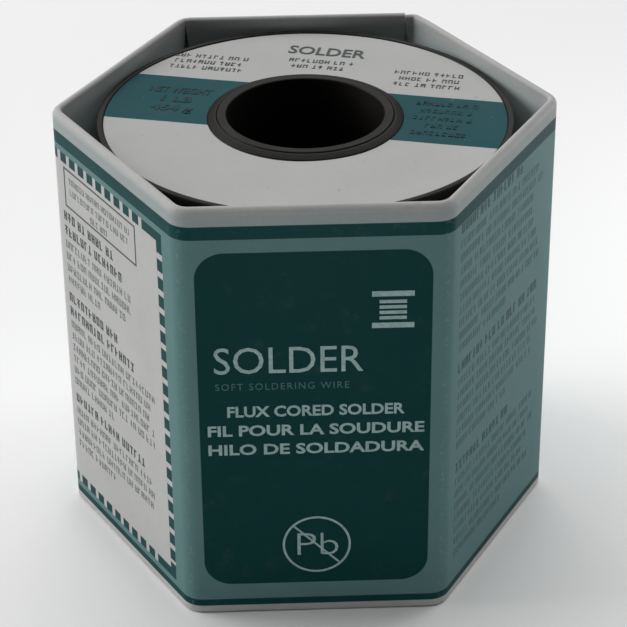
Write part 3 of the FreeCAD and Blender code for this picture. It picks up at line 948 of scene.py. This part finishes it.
class Print:
    """Printed marks of one ink, laid out in millimetres on a face, gathered into one piece."""

    def __init__(self, place):
        self.place = place
        self.form = Form()

    def add(self, points, faces):
        made = [self.form.point(self.place(*point), point[:2]) for point in points]
        for face in faces:
            self.form.face([made[corner] for corner in face])

    def stroke(self, edges, closed=False):
        """A stroke of ink, from the pairs of points at its two edges."""
        points = [(edge.x, edge.y, lift) for pair in edges for edge in pair for lift in (0.0, 1.0)]
        count = len(edges)
        faces = [] if closed else [(0, 1, 3, 2), [4 * (count - 1) + v for v in (0, 2, 3, 1)]]
        for at in range(count if closed else count - 1):
            here, after = 4 * at, 4 * ((at + 1) % count)
            for first, second in ((0, 1), (1, 3), (3, 2), (2, 0)):
                faces.append((here + first, here + second, after + second, after + first))
        self.add(points, faces)

    def bar(self, left, right, low, high):
        self.stroke([(Vector((left, up)), Vector((right, up))) for up in (low, high)])

    def frame(self, left, right, low, high, width):
        self.bar(left, right, low, low + width)
        self.bar(left, right, high - width, high)
        self.bar(left, left + width, low + width, high - width)
        self.bar(right - width, right, low + width, high - width)

    def ring(self, across, up, radius, width):
        middle = Vector((across, up, 0.0))
        outward = [polar(1.0, TAU * at / RING_STEPS) for at in range(RING_STEPS)]
        self.stroke([(middle + (radius - width) * v, middle + radius * v) for v in outward], True)

    def slash(self, start, end, width):
        """A straight stroke of ink between two points."""
        start, end = Vector(start), Vector(end)
        out = (end - start).normalized().orthogonal() * width / 2
        middles = [start.lerp(end, share) for share in spread(0.0, 1.0, SLASH_STEPS)]
        self.stroke([(middle - out, middle + out) for middle in middles])

    def words(self, text, left, right, base, cap, bold=0.0, spacing=1.0, top=1.0):
        """A line of plain capitals from left to right, standing on base."""
        curve = bpy.data.curves.new("words", "FONT")
        curve.body = text
        curve.extrude = 0.1
        curve.offset = bold
        curve.resolution_u = 3
        curve.space_character = spacing
        holder = add_object("words", curve)
        graph = bpy.context.evaluated_depsgraph_get()
        mesh = bpy.data.meshes.new_from_object(holder.evaluated_get(graph))
        shape = bmesh.new()
        shape.from_mesh(mesh)
        bmesh.ops.remove_doubles(shape, verts=shape.verts, dist=1e-4)
        bmesh.ops.triangulate(shape, faces=[f for f in shape.faces if len(f.verts) > 4])
        low = min(v.co.x for v in shape.verts)
        high = max(v.co.x for v in shape.verts)
        stretch = (right - left) / (high - low)
        points = [
            (left + (v.co.x - low) * stretch, base + v.co.y * cap / CAP_SHARE, top * (v.co.z > 0))
            for v in shape.verts
        ]
        shape.verts.index_update()
        faces = [[v.index for v in face.verts] for face in shape.faces]
        shape.free()
        bpy.data.objects.remove(holder)
        bpy.data.meshes.remove(mesh)
        bpy.data.curves.remove(curve)
        self.add(points, faces)

    def copy(self, rng, left, right, base, height, weight):
        """A line of small print, shown as marks with the rhythm of words that spell nothing."""
        cell, gap = 0.6 * height, 0.24 * height
        stroke = weight * height
        at, in_word = left, rng.randint(3, 9)
        while at + cell < right:
            if in_word == 0:
                in_word = rng.randint(2, 9)
                at += cell * 0.75
                continue
            for stem in rng.choice(((0.0, 1.0), (0.0, 1.0), (0.0,), (0.5,))):
                side = at + stem * (cell - stroke)
                self.bar(side, side + stroke, base, base + height)
            for level in rng.sample((0.0, 0.42, 0.84), rng.choice((1, 1, 2))):
                reach = rng.uniform(0.75, 1.0) * cell
                foot = base + level * height
                self.bar(at, at + reach, foot, foot + 0.8 * stroke)
            at += cell + gap
            in_word -= 1

    def piece(self, name, ink, body, slot):
        self.form.piece(name, [ink], body, slot, sharp=20)


def on_side(side):
    """Places millimetres across a side of the sleeve, up it, and 0 or 1 through the ink."""

    def place(across, up, lift):
        depth = -INK_LIFT - INK_BED + lift * (INK_LIFT + INK_BED)
        return wall_point(side * PITCH + across * MM, up * MM, depth)

    return place


def on_label(turn, facing, height):
    """Places millimetres across a label, up it, and 0 or 1 through the ink."""

    def place(across, up, lift):
        level = height + facing * (lift * LABEL_INK - LABEL_BED * (1 - lift))
        flat = Vector((across * MM * facing, up * MM, level))
        return Matrix.Rotation(turn, 3, "Z") @ flat

    return place


def set_front(side, name):
    """The dark panel's marks: a spool sign, the product's kind, and the crossed lead sign."""
    pale = Print(on_side(side))
    pale.words("SOLDER", -13.4, 6.5, 39.8, 4.1)
    left, right, low, high = 7.6, 13.2, 46.4, 52.0
    flange, turn_width, turn_pitch = 0.8, 0.5, 0.82
    pale.bar(left, right, low, low + flange)
    pale.bar(left, right, high - flange, high)
    for turn in range(4):
        up = low + 1.3 + turn * turn_pitch
        pale.bar(left + 1.0, right - 1.0, up, up + turn_width)
    cap, heavy = 1.62, 0.028
    pale.words("FLUX CORED SOLDER", -11.8, 12.1, 32.95, cap, heavy)
    pale.words("FIL POUR LA SOUDURE", -14.5, 14.8, 29.9, cap, heavy)
    pale.words("HILO DE SOLDADURA", -14.5, 14.8, 26.85, cap, heavy)
    across, up = 0.1, 11.5
    pale.ring(across, up, 4.75, 0.32)
    reach = 4.5 * math.sqrt(0.5)
    pale.slash((across - reach, up + reach), (across + reach, up - reach), 0.28)
    pale.words("Pb", -2.6, 3.1, 9.7, 3.9, bold=-0.014, top=0.8)
    pale.piece(f"{name}_lettering", PALE_INK, "sleeve", "printed_board")
    faint = Print(on_side(side))
    faint.words("SOFT SOLDERING WIRE", -13.3, 4.6, 37.2, 1.05, spacing=1.25)
    faint.piece(f"{name}_tagline", FAINT_INK, "sleeve", "printed_board")


SMALL = 1.12  # the height of small print, in millimetres like all of the layout here
HEADING = 1.4
HEADING_WEIGHT = 0.21
LABEL_LINE = 1.95  # from one line to the next
BAND_LINE = 2.3
LABEL_CAPS = 1.7

# A paragraph's line spacing, its last line's share of the width, the others' least share, and
# how heavy its strokes are.
NOTICE = (1.93, 0.5, 0.9, 0.13)
DIRECTIONS = (2.02, 0.6, 0.88, 0.15)


def set_paragraph(page, rng, left, width, up, lines, style):
    """Lines of small print, going down; returns the height of the line that would come next."""
    spacing, last, least, weight = style
    for line in range(lines):
        share = last if line == lines - 1 else rng.uniform(least, 1.0)
        page.copy(rng, left, left + width * share, up - line * spacing, SMALL, weight)
    return up - lines * spacing


def set_notice(side, name, left, right, seed):
    """Small print on the white notice: a boxed note, then headings with their paragraphs."""
    rng = random.Random(seed)
    dark, grey = Print(on_side(side)), Print(on_side(side))
    box_right = left + 21.5
    dark.frame(left + 0.7, box_right, 51.0, 57.2, 0.25)
    for line in range(3):
        inset = (1.4, 1.6, 7.6)[line]
        grey.copy(rng, left + 0.7 + inset, box_right - inset, 55.0 - 1.7 * line, 0.95, 0.12)
    up = 48.6
    for headings, lines, width in ((2, 4, 0.78), (2, 6, 1.0), (1, 4, 0.95)):
        for _ in range(headings):
            end = left + (right - left) * rng.uniform(0.55, 0.95)
            dark.copy(rng, left, end, up, HEADING, HEADING_WEIGHT)
            up -= 2.35
        up += 0.25
        up = set_paragraph(grey, rng, left, (right - left) * width, up, lines, NOTICE) - 1.15
    dark.piece(f"{name}_headings", DARK_INK, "sleeve", "printed_board")
    grey.piece(f"{name}_small_print", GREY_INK, "sleeve", "printed_board")


def set_directions(side, name, left, right, seed):
    """Small print in a darker tint straight on the coloured field."""
    rng = random.Random(seed)
    dark, shade = Print(on_side(side)), Print(on_side(side))
    up = 58.6
    for lines, gap in ((9, 1.2), (6, 1.9), (7, 0.0)):
        end = left + (right - left) * rng.uniform(0.65, 0.95)
        dark.copy(rng, left, end, up, HEADING, HEADING_WEIGHT)
        up -= 2.2
        up = set_paragraph(shade, rng, left, right - left, up, lines, DIRECTIONS) - gap
    dark.piece(f"{name}_headings", DIM_INK, "sleeve", "printed_board")
    shade.piece(f"{name}_small_print", SHADE_INK, "sleeve", "printed_board")


def set_label(name, turn, facing, height, seed):
    """The ring label's marks: the product's kind, three short notes, and the weight on the band."""
    rng = random.Random(seed)
    dark = Print(on_label(turn, facing, height))
    dark.words("SOLDER", -6.8, 4.6, 20.4, 2.6, bold=0.012)
    for middle, top, lines in ((-17.3, 16.4, 3), (-1.2, 17.6, 2), (15.2, 16.2, 3)):
        for line in range(lines):
            half = rng.uniform(3.9, 5.6)
            dark.copy(rng, middle - half, middle + half, top - LABEL_LINE * line, 1.05, 0.14)
    dark.piece(f"{name}_small_print", DARK_INK, "spool", "label_paper")
    band = Print(on_label(turn, facing, height))
    band.words("NET WEIGHT", -23.6, -14.6, 4.2, LABEL_CAPS, 0.02)
    band.words("1 LB", -21.2, -16.8, 1.4, LABEL_CAPS, 0.02)
    band.words("454 g", -22.0, -16.0, -1.6, LABEL_CAPS, 0.02)
    for line, half in enumerate((4.6, 3.7, 4.4, 2.4, 4.0)):
        band.copy(rng, 19.2 - half, 19.2 + half, 6.6 - BAND_LINE * line, 1.05, 0.16)
    band.piece(f"{name}_band_print", BAND_INK, "spool", "label_paper")


set_front(FRONT, "front")
set_front(BACK, "back")
set_notice(LEFT, "left", -15.0, 10.3, 11)
set_notice(BACK_LEFT, "back_left", -12.0, 12.9, 12)
set_directions(RIGHT, "right", -14.4, 13.4, 13)
set_directions(BACK_RIGHT, "back_right", -14.4, 13.4, 14)
set_label("top_label", LABEL_TURN, 1, label_high.z, 15)
set_label("base_label", 0.0, -1, base_label_low.z, 16)


# ---------------- studio


def make_floor():
    mesh = bpy.data.meshes.new("studio_floor")
    shape = bmesh.new()
    bmesh.ops.create_grid(shape, x_segments=24, y_segments=24, size=4.0)
    shape.to_mesh(mesh)
    shape.free()
    mesh.materials.append(make_floor_finish())
    add_object("studio_floor", mesh)


def add_light(name, place, size, power):
    """A soft square lamp that faces the object."""
    lamp = bpy.data.lights.new(name, "AREA")
    lamp.shape = "SQUARE"
    lamp.size = size
    lamp.energy = power
    holder = add_object(name, lamp)
    holder.location = place
    holder.visible_camera = False
    aim = Vector((0.0, 0.0, HEIGHT / 2)) - Vector(place)
    holder.rotation_mode = "QUATERNION"
    holder.rotation_quaternion = aim.to_track_quat("-Z", "Y")


def add_sky_lamp(tilt, spread_angle, strength):
    """A very soft light from overhead, leaning back, that falls evenly on the whole floor."""
    lamp = bpy.data.lights.new("lamp_above", "SUN")
    lamp.angle = spread_angle
    lamp.energy = strength
    add_object("lamp_above", lamp).rotation_euler = (-tilt, 0.0, 0.0)


def make_camera():
    """The photograph's viewpoint: a long lens from above the front, turned a touch to the left."""
    azimuth, elevation, roll = (math.radians(v) for v in (-1.83, 30.71, -0.50))
    looked_at = Vector((0.0253, 0.0, 0.8573)) * CIRCUMRADIUS
    distance = 9.8305 * CIRCUMRADIUS
    turned = Matrix.Rotation(azimuth, 4, "Z") @ Matrix.Rotation(TAU / 4 - elevation, 4, "X")
    turned @= Matrix.Rotation(roll, 4, "Z")
    lens = bpy.data.cameras.new("camera")
    lens.sensor_width, lens.lens = 36.0, 137.5
    lens.clip_start, lens.clip_end = 0.01, 20.0
    camera = add_object("camera", lens)
    moved = Matrix.Translation((0.0, 0.0, distance))
    camera.matrix_world = Matrix.Translation(looked_at) @ turned @ moved
    bpy.context.scene.camera = camera


make_floor()
add_sky_lamp(math.radians(28), math.radians(85), 2.2)
add_light("lamp_left", (-1.1, 0.24, 0.42), 0.75, 9.6)
add_light("lamp_right", (1.1, 0.34, 0.42), 0.75, 1.3)
add_light("lamp_near", (0.16, 0.07, 0.045), 0.06, 0.055)
add_light("lamp_low", (0.0, -0.15, 0.018), 0.03, 0.012)
make_camera()
world = bpy.data.worlds.new("studio")
world.use_nodes = True
background = world.node_tree.nodes["Background"]
background.inputs["Color"].default_value = rgb(1.0, 1.0, 1.0)
background.inputs["Strength"].default_value = 0.05
bpy.context.scene.world = world
bpy.context.scene.view_settings.view_transform = "Standard"
